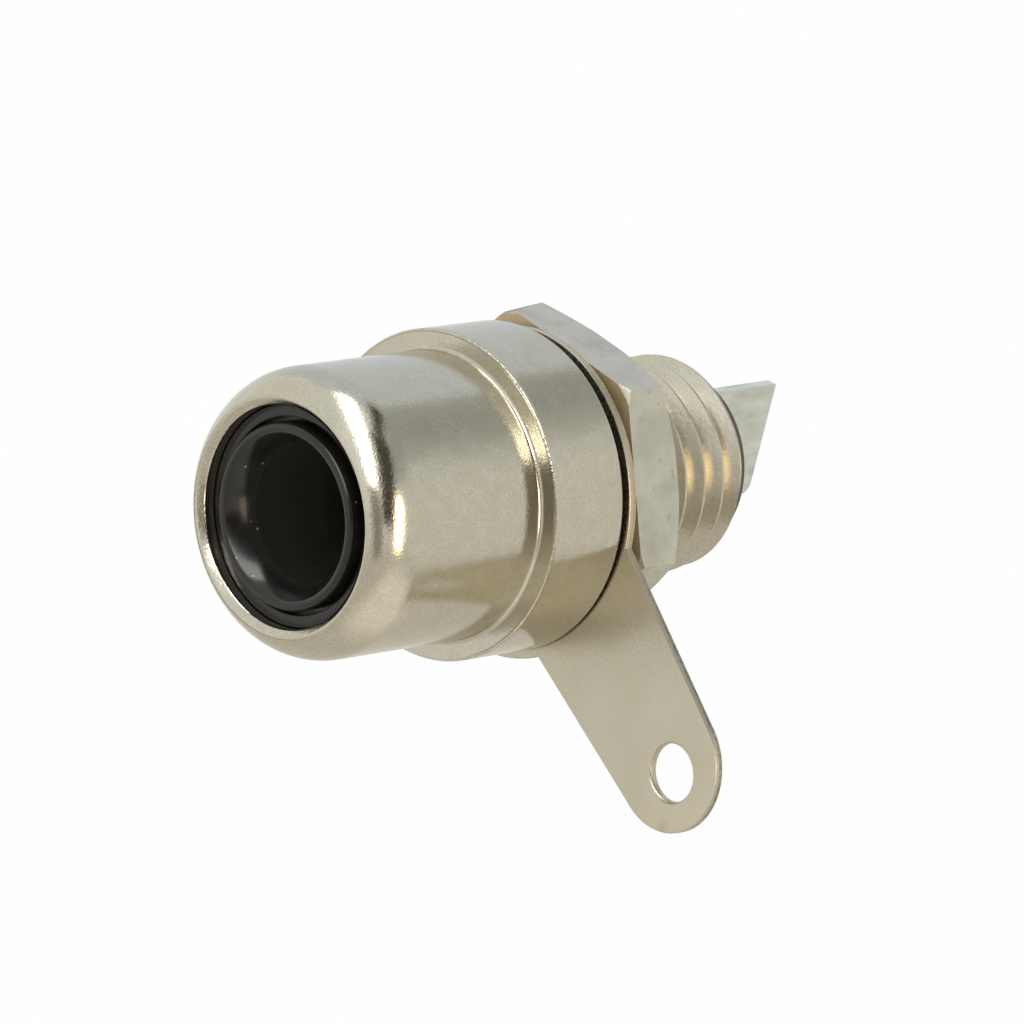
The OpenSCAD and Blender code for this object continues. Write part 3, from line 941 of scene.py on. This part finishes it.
def makeCamera(s):
    azimuth, elevation = math.radians(s["azimuth"]), math.radians(s["elevation"])
    right = Vector((math.cos(azimuth), math.sin(azimuth), 0))
    ahead = Vector((
        -math.sin(azimuth) * math.cos(elevation),
        math.cos(azimuth) * math.cos(elevation),
        -math.sin(elevation),
    ))
    up = right.cross(ahead)
    place = Vector(s["target"]) - (s["right"] * right - s["down"] * up + s["ahead"] * ahead)
    bpy.ops.object.camera_add()
    camera = bpy.context.object
    turn = Matrix((right, up, -ahead)).transposed().to_4x4()
    camera.matrix_world = Matrix.Translation(place * mm) @ turn
    camera.data.lens = s["lens"]
    camera.data.sensor_width = s["sensor"]
    camera.data.clip_start, camera.data.clip_end = s["clip"]
    bpy.context.scene.camera = camera


makeCamera(cameraSizes)


# Stage: pale floor, white surroundings, and the cards and softboxes that the bright metal mirrors

floorSizes = {"side": 6000, "height": -9.35, "shadow": 0.05, "paper": "#f4f4f2", "roughness": 0.9}
worldLevels = {"sky": "#ffffff", "ground": "#d8d4c8", "horizon": (-0.5, 0.2), "light": 0.9}
cardPlaces = {"nearest": 300, "apart": 15}
# each card: the directions of its two ends (azimuth from -Y towards +X, and elevation), its width in
# degrees, the shares of width and length that its soft edges take, colour and level
cards = {
    "darkBar": {
        "start": (62, -8), "end": (99, 62), "width": 35,
        "soft": (0.3, 0.12), "color": "#4a463c", "level": 1,
    },
    "darkSeam": {
        "start": (92, 57), "end": (172, 57), "width": 18,
        "soft": (0.35, 0.1), "color": "#504e46", "level": 1,
    },
    "cameraShade": {
        "start": (46, -28), "end": (42, 21), "width": 24,
        "soft": (0.3, 0.14), "color": "#9c988d", "level": 1,
    },
    "topSoftbox": {
        "start": (43, 19), "end": (223, 80), "width": 21,
        "soft": (0.2, 0.06), "color": "#fffdf6", "level": 5.5,
    },
    "warmCard": {
        "start": (84, -26), "end": (88, 17), "width": 21,
        "soft": (0.28, 0.22), "color": "#ffe6bf", "level": 6,
    },
    "greyWall": {
        "start": (135, 8), "end": (135, 80), "width": 104,
        "soft": (0.25, 0.5), "color": "#b0b3af", "level": 1,
    },
    "sideWall": {
        "start": (138, -34), "end": (138, 24), "width": 88,
        "soft": (0.2, 0.2), "color": "#e8e8e0", "level": 1,
    },
    "rightFloor": {
        "start": (95, -72), "end": (95, -24), "width": 60,
        "soft": (0.4, 0.4), "color": "#f2efe4", "level": 1,
    },
    "backWall": {
        "start": (-155, 0), "end": (-155, 86), "width": 90,
        "soft": (0.25, 0.1), "color": "#dae1e7", "level": 1,
    },
    "leftWall": {
        "start": (-70, -20), "end": (-70, 84), "width": 110,
        "soft": (0.25, 0.1), "color": "#f0f2ed", "level": 1,
    },
}
floorGlow = {
    "low": (0.5, -12), "high": (14, 3.5), "height": -9.3,
    "soft": (0.3, 0.3), "color": "#fffaf0", "level": 1,
}


def makeFloor(s):
    bpy.ops.object.select_all(action="DESELECT")
    bpy.ops.mesh.primitive_plane_add(size=s["side"] * mm, location=(0, 0, s["height"] * mm))
    floor = bpy.context.object
    floor.name = "floor"
    material, tree, shader = startMaterial("floorPaper")
    shader.inputs["Base Color"].default_value = srgb(s["paper"])
    shader.inputs["Roughness"].default_value = s["roughness"]
    white = addNode(tree, "ShaderNodeEmission", {"Strength": 1})
    seen = addNode(tree, "ShaderNodeLightPath")
    level = addNode(tree, "ShaderNodeMath", {
        "operation": "MULTIPLY", 1: 1 - s["shadow"],
    }, {0: seen.outputs["Is Camera Ray"]})
    mixed = addNode(tree, "ShaderNodeMixShader", None, {
        0: level.outputs[0], 1: shader.outputs[0], 2: white.outputs[0],
    })
    tree.links.new(mixed.outputs[0], tree.nodes["Material Output"].inputs["Surface"])
    floor.data.materials.append(material)
    floor.visible_glossy = False  # metal mirrors the white surroundings below it instead


def makeWorld(s):
    world = bpy.data.worlds.new("studio")
    bpy.context.scene.world = world
    world.use_nodes = True
    tree = world.node_tree
    place = addNode(tree, "ShaderNodeTexCoord")
    parts = addNode(tree, "ShaderNodeSeparateXYZ", None, {0: place.outputs["Generated"]})
    height = addNode(tree, "ShaderNodeMapRange", {
        1: s["horizon"][0], 2: s["horizon"][1],
    }, {0: parts.outputs["Z"]})
    color = addNode(tree, "ShaderNodeMix", {
        "data_type": "RGBA", 6: srgb(s["ground"]), 7: srgb(s["sky"]),
    }, {0: height.outputs[0]})
    rays = addNode(tree, "ShaderNodeLightPath")
    seen = addNode(tree, "ShaderNodeMath", {"operation": "MAXIMUM"}, {
        0: rays.outputs["Is Camera Ray"], 1: rays.outputs["Is Glossy Ray"],
    })
    seen = addNode(tree, "ShaderNodeMath", {"operation": "MAXIMUM"}, {
        0: seen.outputs[0], 1: rays.outputs["Is Transmission Ray"],
    })
    level = addNode(tree, "ShaderNodeMapRange", {3: s["light"], 4: 1.0}, {0: seen.outputs[0]})
    background = tree.nodes["Background"]
    tree.links.new(color.outputs[2], background.inputs["Color"])
    tree.links.new(level.outputs[0], background.inputs["Strength"])


def direction(azimuth, elevation):
    azimuth, elevation = math.radians(azimuth), math.radians(elevation)
    return Vector((
        math.sin(azimuth) * math.cos(elevation),
        -math.cos(azimuth) * math.cos(elevation),
        math.sin(elevation),
    ))


def lightCard(name, place, s):
    bpy.ops.object.select_all(action="DESELECT")
    bpy.ops.mesh.primitive_plane_add(size=1)
    card = bpy.context.object
    card.name = name
    card.matrix_world = place
    material, tree = startMaterial(name)[:2]
    tree.nodes.clear()
    spot = addNode(tree, "ShaderNodeTexCoord")
    parts = addNode(tree, "ShaderNodeSeparateXYZ", None, {0: spot.outputs["UV"]})
    fades = []
    for axis, soft in zip("XY", s["soft"]):
        inset = addNode(tree, "ShaderNodeMath", {
            "operation": "PINGPONG", 1: 0.5,
        }, {0: parts.outputs[axis]})
        fades.append(addNode(tree, "ShaderNodeMapRange", {
            "interpolation_type": "SMOOTHSTEP", 2: soft,
        }, {0: inset.outputs[0]}))
    fade = addNode(tree, "ShaderNodeMath", {"operation": "MULTIPLY"}, {
        0: fades[0].outputs[0], 1: fades[1].outputs[0],
    })
    clear = addNode(tree, "ShaderNodeBsdfTransparent")
    glow = addNode(tree, "ShaderNodeEmission", {"Color": srgb(s["color"]), "Strength": s["level"]})
    mixed = addNode(tree, "ShaderNodeMixShader", None, {
        0: fade.outputs[0], 1: clear.outputs[0], 2: glow.outputs[0],
    })
    addNode(tree, "ShaderNodeOutputMaterial", None, {"Surface": mixed.outputs[0]})
    card.data.materials.append(material)
    # seen only in reflections
    card.visible_camera = False
    card.visible_diffuse = False
    card.visible_transmission = False
    card.visible_shadow = False


def makeCard(name, s, distance):
    start, end = direction(*s["start"]), direction(*s["end"])
    toward = (start + end).normalized()
    along = (end - start).normalized()
    height = 2 * distance * math.tan(start.angle(end) / 2)
    width = 2 * distance * math.tan(math.radians(s["width"]) / 2)
    turn = Matrix((along.cross(-toward), along, -toward)).transposed().to_4x4()
    size = Matrix.Diagonal((width * mm, height * mm, 1, 1))
    lightCard(name, Matrix.Translation(toward * distance * mm) @ turn @ size, s)


def makeFloorGlow(s):
    # the lit floor beside the sleeve, which the sleeve and its rim mirror
    low, high = Vector(s["low"]), Vector(s["high"])
    middle = (low + high) / 2
    size = Matrix.Diagonal((*((high - low) * mm), 1, 1))
    place = Matrix.Translation((middle.x * mm, middle.y * mm, s["height"] * mm))
    lightCard("floorGlow", place @ size, s)


makeFloor(floorSizes)
makeWorld(worldLevels)
for place, cardName in enumerate(cards):
    # the first stands in front where two overlap
    makeCard(cardName, cards[cardName], cardPlaces["nearest"] + cardPlaces["apart"] * place)
makeFloorGlow(floorGlow)
bpy.context.scene.view_settings.view_transform = "Standard"
print("stage done")
